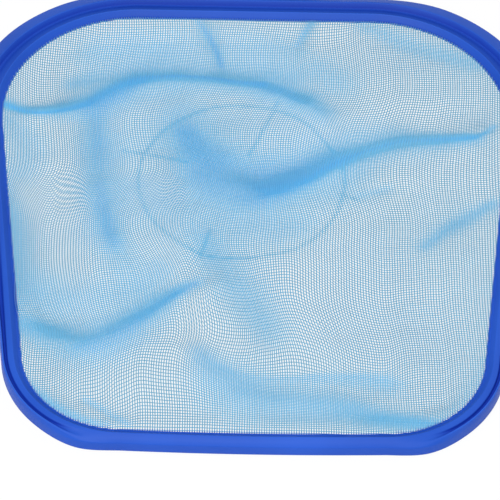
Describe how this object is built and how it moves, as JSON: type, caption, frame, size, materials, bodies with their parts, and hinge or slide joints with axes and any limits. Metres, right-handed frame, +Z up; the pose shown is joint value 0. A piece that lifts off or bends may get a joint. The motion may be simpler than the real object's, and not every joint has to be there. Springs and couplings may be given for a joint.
{
  "type": "leaf skimmer net head",
  "caption": "Flat leaf skimmer net head: a moulded plastic rim with a fine net, and a hollow shank with sprung snap buttons that slides into a pool pole.",
  "frame": {"origin": "middle of the whole length and width, in the plane that the rim rests on", "axes": "+X along the width, +Y along the length towards the pole, +Z up from the resting plane to the side that leaves lie on"},
  "size_m": [0.3042, 0.4392, 0.032],
  "materials": {
    "moulding": "satin moulded, bright blue",
    "net": "fine woven nylon net, light blue",
    "spring_steel": "bright strip",
    "button_steel": "polished"
  },
  "bodies": {
    "head": {"frame": "moulding", "net": "net", "handle": "moulding", "clip_bend": "spring_steel"},
    "right_button": {"button_right": "button_steel"},
    "left_button": {"button_left": "button_steel"},
    "right_leg": {"clip_leg_right": "spring_steel"},
    "left_leg": {"clip_leg_left": "spring_steel"}
  },
  "joints": [
    {"name": "press_right", "type": "slide", "parent": "head", "child": "right_button", "axis": [-1, 0, 0], "range_m": [0, 0.0046], "stiffness_N_per_m": 1200, "springref_m": -0.004},
    {"name": "press_left", "type": "slide", "parent": "head", "child": "left_button", "axis": [1, 0, 0], "range_m": [0, 0.0046], "stiffness_N_per_m": 1200, "springref_m": -0.004},
    {"name": "flex_right", "type": "hinge", "parent": "head", "child": "right_leg", "pos_m": [0.0022, 0.1398, 0.015], "axis": [0, 0, 1], "range_deg": [0, 6.24]},
    {"name": "flex_left", "type": "hinge", "parent": "head", "child": "left_leg", "pos_m": [-0.0022, 0.1398, 0.015], "axis": [0, 0, -1], "range_deg": [0, 6.24]}
  ],
  "couplings": [
    {"joint": "flex_right", "follows": "press_right", "rad_per_m": 23.604},
    {"joint": "flex_left", "follows": "press_left", "rad_per_m": 23.604}
  ]
}
